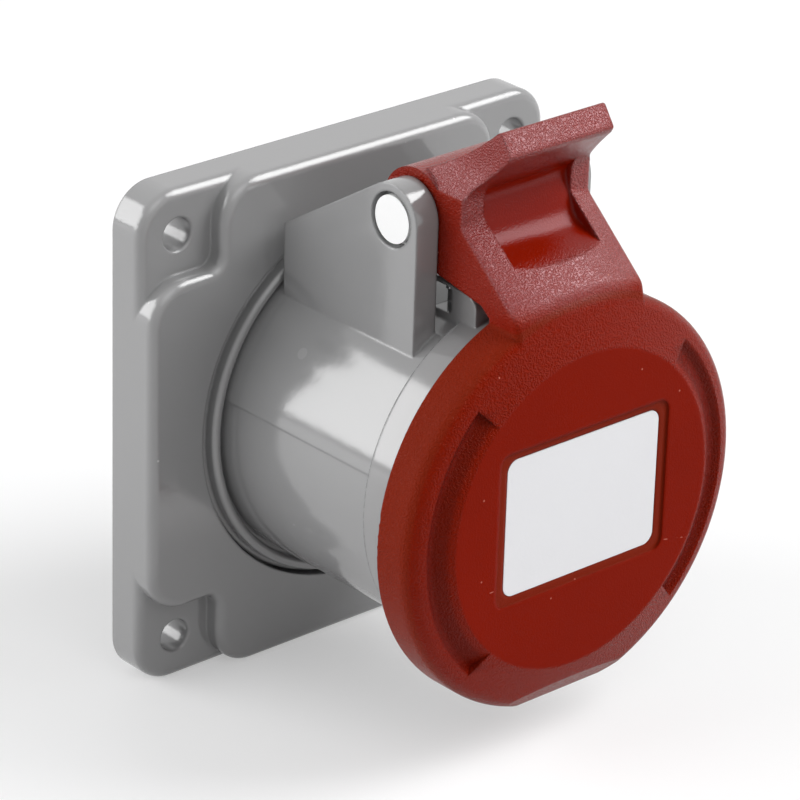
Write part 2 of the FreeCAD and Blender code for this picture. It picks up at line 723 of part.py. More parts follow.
def socket_barrel():
    body = new_body("socket_barrel")
    barrel_shell(body)

    ear = new_sketch(body, "EarSketch", "YZ_Plane", ear_inside)
    outline(ear, sideways(ear_profile()))
    ear_pad = feature(body, "Pad", "Ear", ear, dim("ear_thick"))
    mirrored(body, "EarPair", [ear_pad])

    block = new_sketch(body, "BlockSketch", "YZ_Plane")
    block_front = block_back + dim("block_long")
    outline(block, sideways([
        (block_back, wall_foot), (block_back, block_top, 0.8),
        (block_front, block_top - dim("block_fall"), 2.0), (block_front, wall_foot),
    ]))
    feature(body, "Pad", "Block", block, block_half * 2, middle=True)

    barrel_bore(body)
    hinge_cuts(body)

    screw = new_sketch(body, "InsertScrewSketch", "XZ_Plane", dim("shoulder_front") - 1)
    disc(screw, 0, fixing_ring, dim("fixing_radius"))
    screw_cut = feature(body, "Pocket", "InsertScrew", screw, dim("shoulder_front"))
    repeat(body, "InsertScrews", [screw_cut], screw, 3)
    keep_node("socket_barrel", body)


def barrel_shell(body):
    """Solid of revolution, the raised upper shell and the lock lugs."""
    shell = new_sketch(body, "ShellSketch", "XY_Plane")
    tail_back = -dim("tail_back")
    seal_out = seal_inner + dim("seal_width")
    seal_top = web_front + dim("seal_depth")
    bead_out, bead_in = collar_radius - dim("bead_inset"), barrel_radius + dim("bead_gap")
    bead_round = dim("bead_round")
    shell_back = collar_front + 0.4
    outline(shell, forward([
        (0, tail_back), (tail_radius, tail_back, 0.6), (tail_radius, web_front),
        (seal_inner, web_front), (seal_inner, seal_top), (seal_out, seal_top),
        (seal_out, web_front), (collar_radius, web_front), (collar_radius, collar_front, 0.5),
        (bead_out, collar_front), (bead_out, bead_front, bead_round),
        (bead_in, bead_front, bead_round), (bead_in, shell_back), (barrel_radius, shell_back),
        (barrel_radius, ring_back), (ring_radius, ring_back, 0.5),
        (ring_radius, barrel_front, 0.6), (0, barrel_front),
    ]))
    turned(body, "Revolution", "Shell", shell)

    crease = new_sketch(body, "UpperShellSketch", "XZ_Plane", shell_back)
    outline(crease, sector(barrel_radius - 1, barrel_radius + dim("crease_step"), 90.0,
                           VALUES["crease_half"]))
    feature(body, "Pad", "UpperShell", crease, ring_back + 0.2 - shell_back)

    lug = new_sketch(body, "LugSketch", "XZ_Plane", dim("web_back") - 0.1 - dim("lug_thick"))
    outline(lug, sector(tail_radius - 1, lug_radius, 90.0, VALUES["lug_half"]))
    lug_pad = feature(body, "Pad", "Lug", lug, dim("lug_thick"))
    repeat(body, "Lugs", [lug_pad], lug, 3)


def barrel_bore(body):
    """Stepped bore with its shoulder, and the keyway at the bottom."""
    bore = new_sketch(body, "BoreSketch", "XY_Plane")
    inside, chamfer = dim("bore_radius"), dim("mouth_chamfer")
    shoulder = tower_radius + dim("tower_gap")
    entry_back = ring_back + dim("entry_inset")
    behind, beyond = -dim("tail_back") - 1, barrel_front + 1
    outline(bore, forward([
        (0, behind), (tail_bore, behind), (tail_bore, 0), (shoulder, 0),
        (shoulder, dim("shoulder_front")), (inside, dim("shoulder_front")), (inside, entry_back),
        (entry_radius, entry_back), (entry_radius, barrel_front - chamfer),
        (entry_radius + chamfer, barrel_front), (entry_radius + chamfer, beyond), (0, beyond),
    ]))
    turned(body, "Groove", "Bore", bore)

    key = new_sketch(body, "KeySketch", "XZ_Plane", barrel_front + 0.1)
    wide, low = dim("key_half"), inside + dim("key_depth")
    top = 4 - inside
    outline(key, [(-wide, -low, 0.4), (wide, -low, 0.4), (wide, top), (-wide, top)])
    feature(body, "Pocket", "Keyway", key, barrel_front + 0.1 - dim("key_back"))


def hinge_cuts(body):
    """Cap seats and pin holes in the ears, pockets and slots for the lower spring legs."""
    seat = new_sketch(body, "CapSeatSketch", "YZ_Plane", dim("ear_out"))
    disc(seat, -hinge_s, hinge_z, dim("pin_radius") + dim("seat_rim"))
    seat_cut = feature(body, "Pocket", "CapSeat", seat, dim("seat_depth"))
    pin = new_sketch(body, "PinHoleSketch", "YZ_Plane", dim("ear_out"))
    disc(pin, -hinge_s, hinge_z, dim("pin_radius") + dim("press_gap"))
    pin_cut = feature(body, "Pocket", "PinHole", pin, dim("ear_thick") + 1)
    leg = new_sketch(body, "LegPocketSketch", "YZ_Plane", block_half)
    outline(leg, sideways([
        (block_back - 1, pocket_floor), (pocket_front, pocket_floor, 0.8),
        (pocket_front, pocket_top, 0.8), (block_back - 1, pocket_top),
    ]))
    leg_cut = feature(body, "Pocket", "LegPocket", leg, dim("leg_pocket"))
    slot = new_sketch(body, "LegSlotSketch", "YZ_Plane", block_half - dim("leg_ledge"))
    outline(slot, sideways([
        (leg_s - leg_reach, pocket_top - 1), (leg_s + leg_reach, pocket_top - 1),
        (leg_s + leg_reach, block_top + 1), (leg_s - leg_reach, block_top + 1),
    ]))
    slot_cut = feature(body, "Pocket", "LegSlot", slot, dim("leg_pocket") - dim("leg_ledge"))
    mirrored(body, "HingeSides", [seat_cut, pin_cut, leg_cut, slot_cut])


# Hinged lid: the arm up to the hinge, the lifting tab, and the round cap with its skirt

def hinge_lid():
    body = new_body("hinge_lid")
    lid_arm(body)
    lid_tab(body)
    lid_cap(body)
    lid_face(body)
    lid_hollows(body)
    keep_node("hinge_lid", body)


def on_knuckle(degrees):
    """A point on the knuckle of the arm, the angle counted from forward to up."""
    turn = math.radians(degrees)
    reach = dim("knuckle_radius")
    return hinge_s + reach * math.cos(turn), hinge_z + reach * math.sin(turn)


def on_rim(radius):
    """Depth of the sloped rim of the lid, carried on outwards, at this radius."""
    fall = float(face_front - rim_front) / float(lid_radius - face_radius)
    return face_front - fall * (radius - face_radius) - 0.01


def arm_sides(edge):
    """Picks the long front edges at both sides of the arm."""
    box = edge.BoundBox
    upright = box.XLength < NEAR and abs(abs(box.XMax) - float(arm_half)) < NEAR
    return upright and -box.YMax > float(brow_front) - NEAR


def lid_arm(body):
    """Arm from the knuckle down to the cap. Its front is an arched slope about the lid axis."""
    arm = new_sketch(body, "ArmSketch", "YZ_Plane")
    brow_top = hinge_z + dim("brow_rise")
    inner = face_radius + 2
    arm_front = on_rim(inner) + 1
    outline(arm, sideways([
        on_knuckle(248.0),
        on_knuckle(74.0) + (hinge_s, hinge_z, -1),
        (brow_front + 0.6, brow_top),
        (arm_front, brow_top - 1),
        (arm_front, inner),
        (rim_front, inner),
        (rim_front, lid_cavity - 11),
        (lid_seat + 0.5, lid_cavity - 11),
        (skirt_back + 0.2, lid_cavity - 7),
        (skirt_back + 0.2, lid_cavity),
        (skirt_back - 2.4, lid_cavity + 2),
    ]))
    feature(body, "Pad", "Arm", arm, arm_half * 2, middle=True)

    slope = new_sketch(body, "SlopeSketch", "XY_Plane", -dim("lid_drop"))
    slope_radius = slope_top + dim("lid_drop")
    outline(slope, forward([
        (inner, on_rim(inner)), (bend_radius, on_rim(bend_radius), dim("bend_round")),
        (slope_radius, brow_front, dim("slope_round")),
        (slope_radius + 30, brow_front), (slope_radius + 30, rim_front + 8),
        (inner, rim_front + 8),
    ]))
    turned(body, "Groove", "Slope", slope)


def lid_tab(body):
    """Lifting tab on top of the arm. It widens in a hollow curve down to the arm."""
    tab = new_sketch(body, "TabSketch", "YZ_Plane")
    root = on_knuckle(84.0)
    tip = (hinge_s + dim("tab_reach"), hinge_z + dim("tab_rise"))
    lip = (hinge_s + dim("lip_reach"), hinge_z + dim("lip_rise"))
    middle = arc_above(root, tip, VALUES["tab_sweep"])
    fold = hinge_z + dim("brow_rise")
    outline(tab, sideways([
        (hinge_s, hinge_z), root, tip + (middle[0], middle[1], 1), lip,
        (lip[0] - 0.6, lip[1] - 1.0), (brow_front, fold + 0.2, dim("fold_round")),
        (brow_front, slope_top + 0.4), (brow_front - 1.5, slope_top),
    ]))
    feature(body, "Pad", "Tab", tab, arm_half * 2, middle=True)
    fillet(body, "ArmEdges", dim("arm_edge"), arm_sides)

    flare = new_sketch(body, "FlareSketch", "XZ_Plane", lip[0] + 1)
    inset, rise = dim("tab_inset"), dim("tab_flare")
    narrow = arm_half - inset
    sweep = (float(inset) ** 2 + float(rise) ** 2) / (2 * float(inset))
    top = fold - 1.0 + rise
    for side in (1, -1):
        outline(flare, [
            (arm_half * side, top - rise),
            (narrow * side, top, (narrow + sweep) * side, top, -side),
            (narrow * side, tip[1] + 1), ((arm_half + 1) * side, tip[1] + 1),
            ((arm_half + 1) * side, top - rise),
        ])
    feature(body, "Pocket", "Flare", flare, lip[0] + 1 - hinge_s + dim("knuckle_radius"))

    def tab_end(edge):
        box = edge.BoundBox
        return box.ZMin > float(lip[1]) - 0.5 and box.XLength > 1

    fillet(body, "TabEdges", dim("tab_edge"), tab_end)

    knuckle = new_sketch(body, "KnuckleSketch", "YZ_Plane")
    disc(knuckle, -hinge_s, hinge_z, dim("knuckle_radius"))
    feature(body, "Pad", "Knuckle", knuckle, arm_half * 2, middle=True)

    scoop = new_sketch(body, "ScoopSketch", "YZ_Plane")
    slope_edge = (brow_front + 8.5, slope_top - 7.3)
    outline(scoop, sideways([
        (brow_front + 3.3, fold + 3.5), (brow_front - 1.6, fold - 1.4, 2.5),
        (brow_front + 1.4, slope_top - 5.1, 5.0), slope_edge,
        (slope_edge[0] + 4, slope_edge[1] + 1), (slope_edge[0], fold),
    ]))
    feature(body, "Pocket", "Scoop", scoop, scoop_half * 2, middle=True)


def lid_cap(body):
    """Round cap: flat face, sloped rim and skirt."""
    cap = new_sketch(body, "CapSketch", "XY_Plane", -dim("lid_drop"))
    outline(cap, forward([
        (0, skirt_back), (lid_radius, skirt_back, 0.5), (lid_radius, rim_front, dim("rim_round")),
        (face_radius, face_front, dim("face_round")), (0, face_front),
    ]))
    turned(body, "Revolution", "Cap", cap)

    flat = new_sketch(body, "FlatSketch", "YZ_Plane")
    low = lid_radius + dim("lid_drop") - dim("flat_cut")
    bevel = low - dim("bevel_high")
    outline(flat, sideways([
        (skirt_back - 1, -low), (face_front - dim("bevel_deep"), -low), (face_front, -bevel),
        (face_front + 3, -bevel), (face_front + 3, -low - 4), (skirt_back - 1, -low - 4),
    ]))
    feature(body, "Pocket", "Flat", flat, lid_radius * 2, middle=True)


def lid_face(body):
    """Arc grooves at both sides of the face, and the window with the seat of the label."""
    grooves = new_sketch(body, "GrooveSketch", "XY_Plane", -dim("lid_drop"))
    bottom = face_radius + dim("groove_wide")
    outer = bottom + dim("groove_lip")
    for side in (1, -1):
        outline(grooves, forward([
            (face_radius * side, face_front), (bottom * side, face_front - dim("groove_deep"),
                                               dim("groove_round")),
            (outer * side, rim_front + 0.8), (outer * side, face_front + 1),
            (face_radius * side, face_front + 1),
        ]))
    cuts = turned(body, "Groove", "Grooves", grooves)
    cuts.Midplane = True
    cuts.setExpression("Angle", (dim("groove_span") * 2).text)
    doc.recompute()

    window = new_sketch(body, "WindowSketch", "XZ_Plane", face_front)
    wide, high = dim("label_wide") * 0.5, dim("label_high") * 0.5
    rounded_box(window, wide + dim("window_side"), high + dim("window_edge"), dim("window_round"))
    feature(body, "Pocket", "Window", window, dim("window_depth"))
    seat = new_sketch(body, "LabelSeatSketch", "XZ_Plane", face_front)
    gap = dim("label_gap")
    rounded_box(seat, wide + gap, high + gap, dim("label_round") + gap)
    feature(body, "Pocket", "LabelSeat", seat, dim("window_depth") + dim("label_thick"))


def rounded_box(sketch, wide, high, corner):
    outline(sketch, [(-wide, -high, corner), (wide, -high, corner),
                     (wide, high, corner), (-wide, high, corner)])


def lid_hollows(body):
    """Spring bay with its leg slots, the hollow inside the cap, and the bore for the pin."""
    bay = new_sketch(body, "BaySketch", "YZ_Plane")
    around = dim("knuckle_radius") - dim("knuckle_wall")
    bay_floor = hinge_z - 13.3
    bay_front = hinge_s + 13.3
    outline(bay, sideways([
        (hinge_s - around, bay_floor), (hinge_s - around, hinge_z),
        (hinge_s, hinge_z + around, hinge_s, hinge_z, -1), (hinge_s + 6.9, hinge_z + 2.7, 1.5),
        (bay_front, hinge_z - 7.1, 1.0), (bay_front, bay_floor),
    ]))
    feature(body, "Pocket", "Bay", bay, (arm_half - dim("bay_side")) * 2, middle=True)

    leg = new_sketch(body, "LegSlotSketch", "YZ_Plane", dim("coil_inner") + 1.0)
    leg_end = hinge_z + dim("lid_leg") + dim("leg_room")
    outline(leg, sideways([
        (leg_s - leg_reach, hinge_z + 2), (leg_s + leg_reach, hinge_z + 2),
        (leg_s + leg_reach, leg_end), (leg_s - leg_reach, leg_end),
    ]))
    leg_cut = feature(body, "Pocket", "LegSlot", leg, dim("coil_inner"))
    mirrored(body, "LegSlots", [leg_cut])

    inside = new_sketch(body, "InsideSketch", "XY_Plane", -dim("lid_drop"))
    seat_edge = dim("bore_radius") - dim("seat_inset")
    roof = face_front - dim("roof_thick")
    outline(inside, forward([
        (0, ring_back), (lid_cavity, ring_back), (lid_cavity, lid_seat), (seat_edge, lid_seat),
        (seat_edge, roof), (0, roof),
    ]))
    turned(body, "Groove", "Inside", inside)

    bore = new_sketch(body, "KnuckleBoreSketch", "YZ_Plane")
    disc(bore, -hinge_s, hinge_z, dim("pin_radius") + dim("running_gap"))
    feature(body, "Pocket", "KnuckleBore", bore, arm_half * 2 + 2, middle=True)


def arc_above(start, end, radius):
    """Centre of the arc of this radius through two points, on the upper side."""
    s0, z0, s1, z1 = float(start[0]), float(start[1]), float(end[0]), float(end[1])
    ds, dz = s1 - s0, z1 - z0
    chord = math.hypot(ds, dz)
    rise = math.sqrt(radius ** 2 - (chord / 2) ** 2)
    return (s0 + s1) / 2 - dz / chord * rise, (z0 + z1) / 2 + ds / chord * rise


def label_plate():
    body = new_body("label_plate")
    back = face_front - dim("window_depth") - dim("label_thick")
    sketch = new_sketch(body, "LabelSketch", "XZ_Plane", back)
    rounded_box(sketch, dim("label_wide") * 0.5, dim("label_high") * 0.5, dim("label_round"))
    feature(body, "Pad", "Label", sketch, dim("label_thick"))
    keep_node("label_plate", body)


# Seals

def seals():
    gap = dim("label_gap")
    keep_node("panel_gasket", ring("panel_gasket", gasket_outer - gap, gasket_inner + gap,
                                   0, dim("gasket_depth")))
    keep_node("barrel_seal", ring("barrel_seal", seal_inner + dim("seal_width") - 0.05,
                                  seal_inner + 0.05, web_front, web_front + dim("seal_depth")))
    seat_edge = dim("bore_radius") - dim("seat_inset")
    keep_node("lid_gasket", ring("lid_gasket", lid_cavity - dim("lid_seal_room"),
                                 seat_edge + dim("lid_seal_inset"),
                                 barrel_front + dim("lid_seal_gap"), lid_seat,
                                 0, -dim("lid_drop")))


# Hinge pin, its two caps and the two torsion springs

def hinge_parts():
    end = dim("ear_out") - dim("seat_depth")
    keep_node("hinge_pin", cross_rod("hinge_pin", dim("pin_radius"), -end, end, hinge_s, hinge_z))
    thick = dim("cap_thick")
    radius = dim("pin_radius") + dim("seat_rim") - dim("cap_gap")
    caps = [
        cross_rod("cap_right", radius, end, end + thick, hinge_s, hinge_z),
        cross_rod("cap_left", radius, -end - thick, -end, hinge_s, hinge_z),
    ]
    keep_node("pin_caps", joined("pin_caps", caps))
    for label, side in (("spring_right", 1), ("spring_left", -1)):
        spring = doc.addObject("Part::Feature", label)
        spring.Shape = torsion_spring(side)
        keep_node(label, spring)


def torsion_spring(side):
    """Coil about the hinge pin. Its outer leg ends in the block, its inner leg bears on the lid."""
    radius, pitch, turns = float(coil_radius), VALUES["coil_pitch"], VALUES["coil_turns"]
    height = pitch * turns
    coil = Part.makeHelix(pitch, height, radius)
    start = Vec(radius, 0, 0)
    end = Vec(radius, 0, height)
    rise = pitch / (2 * math.pi * radius)
    way = Vec(0, 1, rise).normalize()
    lid_leg = VALUES["lid_leg"]
    block_leg = float(hinge_z - pocket_floor - dim("leg_clear"))
    inner_leg = Part.makeLine(start - way * lid_leg, start)
    outer_leg = Part.makeLine(end, end + way * block_leg)
    edges = [inner_leg] + coil.Edges + [outer_leg]
    path = Part.Wire(edges)
    section = Part.Wire([Part.Edge(Part.Circle(start - way * lid_leg, way, VALUES["wire_radius"]))])
    solid = path.makePipeShell([section], True, True)
    # The coil axis is turned to X, and its legs leave the front of the coil, one up and one down.
    solid.rotate(Vec(0, 0, 0), Vec(0, 1, 0), 90)
    solid.rotate(Vec(0, 0, 0), Vec(1, 0, 0), -90)
    solid.translate(Vec(VALUES["coil_inner"], -float(hinge_s), float(hinge_z)))
    if side < 0:
        solid = solid.mirror(Vec(0, 0, 0), Vec(1, 0, 0))
    return solid


# Insulating insert: contact tower in front, flange and terminal block behind

CONTACTS = [
    ("contact_l1", 180.0, "phase"),
    ("contact_l2", 90.0, "phase"),
    ("contact_l3", 0.0, "phase"),
    ("contact_earth", 270.0, "earth"),
]


def contact_place(angle):
    turn = math.radians(angle)
    place = dim("contact_ring")
    return place * round(math.cos(turn)), place * round(math.sin(turn))


def contact_hole(kind):
    """Radius of the hole that a sleeve and its clip go into from behind."""
    return dim(kind + "_outer") + dim("clip_thick") + dim("clip_room")


def ring_places(radius, count, first):
    """Evenly spaced places on a circle about the barrel axis."""
    places = []
    for k in range(count):
        turn = math.radians(first + 360.0 / count * k)
        places.append((radius * math.cos(turn), radius * math.sin(turn)))
    return places


def fixing_places():
    return enumerate(ring_places(fixing_ring, 3, 90.0))


def tie_places():
    return enumerate(ring_places(tie_ring, 4, 45.0))


def contact_carrier():
    """Tower round the sleeves, closed in front but for the pin entries."""
    solid = rod("Tower", tower_radius, 0, tower_front)
    holes = []
    for label, angle, kind in CONTACTS:
        x, z = contact_place(angle)
        entry = dim(kind + "_bore") + dim("pin_gap")
        holes.append(rod(label + "_entry", entry, sleeve_front - 1, tower_front + 1, x, z))
        holes.append(rod(label + "_hole", contact_hole(kind), -1, sleeve_front, x, z))
    for k, (x, z) in tie_places():
        holes.append(rod("TieHole%d" % k, dim("tie_radius"), -1, dim("tie_grip"), x, z))
    keep_node("contact_carrier", cut("contact_carrier", solid, joined("CarrierHoles", holes)))


def terminal_block():
    """Rear half of the insert, with the flange that is screwed to the barrel."""
    base = dim("insert_thick")
    back = base + dim("block_depth")
    block_radius = tower_radius + dim("block_step")
    solid = joined("TerminalSolid", [
        rod("TerminalBody", block_radius, -back, 0),
        rod("InsertFlange", tail_bore - dim("insert_gap"), -base, 0),
    ])
    tools = []
    for label, angle, kind in CONTACTS:
        x, z = contact_place(angle)
        floor = dim("block_floor") - back
        tools.append(rod(label + "_body_hole", contact_hole(kind), floor, 1, x, z))
        tools.append(rod(label + "_wire_hole", dim("wire_bore") + 0.6, -back - 1, floor + 1, x, z))
        tools.append(radial_rod(label + "_screw_hole", dim("head_radius") + dim("head_room"), angle,
                                dim("contact_ring"), block_radius + 2))
    for k, (x, z) in fixing_places():
        tools.append(rod("FixingHole%d" % k, dim("fixing_radius") + 0.1, -base - 1, 1, x, z))
    for k, (x, z) in tie_places():
        tools.append(rod("TieThrough%d" % k, dim("tie_radius") + 0.15, -back - 1, 1, x, z))
        tools.append(rod("TieSink%d" % k, dim("tie_head") + 0.2, -back - 1, dim("tie_sink") - back, x, z))
    keep_node("terminal_block", cut("terminal_block", solid, joined("TerminalTools", tools)))


def radial_rod(name, radius, angle, inner, outer):
    """Cylinder pointing away from the barrel axis at the height of the terminal screws."""
    item = doc.addObject("Part::Cylinder", name)
    turn = FreeCAD.Rotation(Vec(0, 1, 0), 90.0 - angle)
    item.Placement = FreeCAD.Placement(Vec(0, 0, 0), turn)
    item.setExpression("Radius", size(radius).text)
    item.setExpression("Height", (size(outer) - inner).text)
    reach = math.radians(angle)
    item.setExpression("Placement.Base.x", (size(inner) * round(math.cos(reach))).text)
    item.setExpression("Placement.Base.y", dim("screw_place").text)
    item.setExpression("Placement.Base.z", (size(inner) * round(math.sin(reach))).text)
    return item


def contacts():
    base = dim("insert_thick")
    back = base + dim("block_depth") - dim("block_floor")
    for label, angle, kind in CONTACTS:
        x, z = contact_place(angle)
        outer, bore = dim(kind + "_outer"), dim(kind + "_bore")
        root = contact_hole(kind) - dim("sleeve_gap")
        solid = joined(label + "_solid", [
            rod(label + "_sleeve", outer, -back, sleeve_front, x, z),
            rod(label + "_root", root, -back, dim("sleeve_root"), x, z),
        ])
        slit = size(dim("slit_width") * 0.5)
        slit_back = sleeve_front - dim("slit_depth")
        tools = [
            rod(label + "_bore", bore, sleeve_front - dim("sleeve_depth"), sleeve_front + 1, x, z),
            rod(label + "_wire", dim("wire_bore"), -back - 1, dim("wire_depth") - back, x, z),
            brick(label + "_slit_a", x - outer - 1, x + outer + 1, slit_back, sleeve_front + 1,
                  z - slit, z + slit),
            brick(label + "_slit_b", x - slit, x + slit, slit_back, sleeve_front + 1,
                  z - outer - 1, z + outer + 1),
            radial_rod(label + "_thread", dim("screw_radius"), angle, dim("contact_ring"),
                       dim("contact_ring") + root + 1),
        ]
        keep_node(label, cut(label, solid, joined(label + "_tools", tools)))


def clips():
    back = sleeve_front - dim("clip_place")
    front = back + dim("clip_length")
    rings = {"phase": [], "earth": []}
    for label, angle, kind in CONTACTS:
        x, z = contact_place(angle)
        outer = dim(kind + "_outer")
        rings[kind].append(ring(label + "_clip", outer + dim("clip_thick"), outer, back, front, x, z))
    keep_node("phase_clips", joined("phase_clips", rings["phase"]))
    keep_node("earth_clip", rings["earth"][0])


def terminal_screws():
    screws = []
    plates = []
    for label, angle, kind in CONTACTS:
        under = dim("contact_ring") + contact_hole(kind) - dim("sleeve_gap") + dim("head_lift")
        top = under + dim("head_high")
        tip = dim("contact_ring") + dim("wire_bore") - dim("plate_thick")
        shank = radial_rod(label + "_shank", dim("screw_radius"), angle, tip, under)
        head = radial_rod(label + "_head", dim("head_radius"), angle, under, top)
        reach = dim("head_radius") + 0.5
        slot = turned_box(label + "_slot", angle, reach * 2, dim("slot_width"), dim("slot_depth") + 1,
                          top - dim("slot_depth"))
        screws.append(cut(label + "_screw", joined(label + "_screw_solid", [shank, head]), slot))
        plates.append(turned_box(label + "_plate", angle, dim("plate_wide"), dim("plate_long"),
                                 dim("plate_thick"), tip - dim("plate_thick")))
    keep_node("terminal_screws", joined("terminal_screws", screws))
    keep_node("clamp_plates", joined("clamp_plates", plates))


def turned_box(name, angle, wide, long, high, inner):
    """Box whose top points away from the barrel axis, in line with a terminal screw."""
    item = doc.addObject("Part::Box", name)
    item.setExpression("Length", wide.text)
    item.setExpression("Width", long.text)
    item.setExpression("Height", high.text)
    turn = FreeCAD.Rotation(Vec(0, 1, 0), 90.0 - angle)
    corner = turn.multVec(Vec(-float(wide) / 2, -float(long) / 2, float(inner)))
    item.Placement = FreeCAD.Placement(corner + Vec(0, VALUES["screw_place"], 0), turn)
    return item


def slotted_screw(name, place, shank, head):
    """Screw along the barrel, its slotted head behind. The pairs give back and front."""
    x, z, radius, head_radius = place
    solid = joined(name + "Solid", [
        rod(name + "Shank", radius, shank[0], shank[1], x, z),
        rod(name + "Head", head_radius, head[0], head[1], x, z),
    ])
    slit = dim("slot_width") * 0.5
    slot = brick(name + "Slot", x - head_radius - 1, x + head_radius + 1, head[0] - 1,
                 head[0] + dim("slot_depth"), z - slit, z + slit)
    return cut(name, solid, slot)


def fixing_screws():
    base = dim("insert_thick")
    screws = []
    for k, (x, z) in fixing_places():
        place = (x, z, dim("fixing_radius"), dim("fixing_head"))
        screws.append(slotted_screw("FixingScrew%d" % k, place, (-base, dim("fixing_length") - base),
                                    (-base - dim("fixing_high"), -base)))
    keep_node("carrier_screws", joined("carrier_screws", screws))

    seat = dim("tie_sink") - base - dim("block_depth")
    ties = []
    for k, (x, z) in tie_places():
        place = (x, z, dim("tie_radius"), dim("tie_head"))
        ties.append(slotted_screw("TieScrew%d" % k, place, (seat, dim("tie_grip") - 0.5),
                                  (seat - dim("tie_high"), seat)))
    keep_node("block_screws", joined("block_screws", ties))


mounting_flange()
socket_barrel()
hinge_lid()
label_plate()
seals()
hinge_parts()
contact_carrier()
terminal_block()
contacts()
clips()
terminal_screws()
fixing_screws()
doc.recompute()

for item in doc.Objects:
    if "Invalid" in item.State or "Error" in item.State:
        raise RuntimeError("failed object: " + item.Name + " " + item.Label)

os.makedirs("parts", exist_ok=True)
for label, item in NODES:
    shape = item.Shape
    if shape.isNull() or not shape.isValid() or not shape.Solids:
        raise RuntimeError("bad shape: " + label)
    shape.exportStep("parts/" + label + ".step")
    print("%-16s solids %d volume %.1f" % (label, len(shape.Solids), shape.Volume))
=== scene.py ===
"""Looks of the panel socket-outlet: moulded grey flange and barrel, red hinged lid, studio.

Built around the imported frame, in metres, with the lid's and the camera's own values in millimetres.
"""
import json
import math

import bpy
from mathutils import Matrix, Vector

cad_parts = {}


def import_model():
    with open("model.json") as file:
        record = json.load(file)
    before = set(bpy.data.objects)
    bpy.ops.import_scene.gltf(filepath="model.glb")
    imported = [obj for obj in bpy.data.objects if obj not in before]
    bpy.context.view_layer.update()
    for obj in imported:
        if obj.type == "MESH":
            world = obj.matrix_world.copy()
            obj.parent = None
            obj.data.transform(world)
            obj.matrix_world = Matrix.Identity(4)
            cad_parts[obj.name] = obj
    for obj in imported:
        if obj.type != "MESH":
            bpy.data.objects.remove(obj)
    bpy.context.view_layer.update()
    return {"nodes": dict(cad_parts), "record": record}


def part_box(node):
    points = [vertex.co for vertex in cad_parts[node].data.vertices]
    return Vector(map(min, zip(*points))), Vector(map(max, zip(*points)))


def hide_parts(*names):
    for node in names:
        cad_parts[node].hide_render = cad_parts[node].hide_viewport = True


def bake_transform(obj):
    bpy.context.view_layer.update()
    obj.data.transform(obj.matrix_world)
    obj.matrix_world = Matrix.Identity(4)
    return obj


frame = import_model()
MM = 0.001

# Camera at the photo's viewpoint, in millimetres and degrees
AZIMUTH = 42.037
ELEVATION = 24.895
ROLL = 1.764
DISTANCE = 672.15
TARGET = Vector((-16.15, -38.25, 13.07))
FOCAL_PIXELS = 4354.9
IMAGE_PIXELS = 800
SENSOR = 36.0

# How far the centre of the round lid lies below the barrel's axis
LID_DROP = 1.0 * MM

EJECTOR_MARK = (-22.84 * MM, -22.9 * MM, 17.22 * MM)
EJECTOR_RADIUS = 1.0 * MM

# Zones of the lid in its own millimetres. Each pair says where a mask is 0 and where it is 1.
FACE_RADIUS = (26.7, 26.1)
FACE_DEPTH = (-62.2, -62.7)
SKIRT_INSIDE = (33.3, 33.9)
SKIRT_OUTSIDE = (35.0, 34.6)
SCOOP_SIDE = (9.3, 8.7)
SCOOP_FOOT = (37.8, 39.4)
SCOOP_TOP = (52.0, 49.5)
SCOOP_FRONT = (-56.6, -55.4)
SCOOP_BACK = (-44.0, -45.0)
ARM_FOOT = (31.5, 35.0)
ARM_SIDE = (13.4, 13.1)
GROOVE_INSIDE = (26.3, 27.2)
GROOVE_OUTSIDE = (31.4, 30.6)
GROOVE_HEIGHT = (22.5, 21.0)
GROOVE_DEPTH = (-62.9, -62.2)
WINDOW_SIDE = (18.0, 17.7)
WINDOW_FOOT = (-13.4, -13.0)
WINDOW_TOP = (13.4, 13.0)
WINDOW_DEPTH = (-63.15, -62.9)
MARK_DEPTH = (-63.0, -63.1)

# Parting marks on the lid's face: start, end and height in millimetres, and fall per millimetre
RIGHT_MARK = (18.0, 24.2, -8.0, 0.21)
LEFT_MARK = (-19.9, -18.0, -9.4, 0.0)

# Specular levels on the lid, from the plain rim to the zones that lie over it
RIM_SHINE = 0.14
ZONE_SHINE = (("Skirt", 0.06), ("Arm", 0.65), ("Scoop", 0.18), ("Face", 0.05))

GREY = (0.27, 0.27, 0.272, 1)
RED = (0.222, 0.0075, 0.0006, 1)
# Painted reflection: on the cap's side this browner, paler red stands in for the light the skirt
# mirrors; the window recess round the label uses it as a plain browner tint.
BROWN = (0.2, 0.022, 0.008, 1)
# Painted shade: this darker red is mixed into the colour along the arc grooves beside the face.
PAINTED_GROOVE_SHADE = (0.09, 0.003, 0.001, 1)
WARM = (1.0, 0.3, 0.15, 1)
LILAC = (1.0, 0.8, 0.86, 1)
PALE_RED = (0.6, 0.2, 0.15, 1)
PALE = (0.6, 0.6, 0.6, 1)
WHITE = (0.83, 0.83, 0.85, 1)
CAP_WHITE = (0.93, 0.93, 0.93, 1)
BLACK = (0.02, 0.02, 0.021, 1)
STEEL = (0.58, 0.58, 0.57, 1)
WIRE = (0.42, 0.42, 0.43, 1)
INSULATOR = (0.05, 0.05, 0.055, 1)
BRASS = (0.7, 0.47, 0.2, 1)
FLOOR_GREY = (0.56, 0.56, 0.563, 1)
LIGHT_WHITE = (1, 1, 1, 1)

FLOOR_SIZE = 3.0
FLOOR_GLOW = 0.37
WORLD_STRENGTH = 0.32

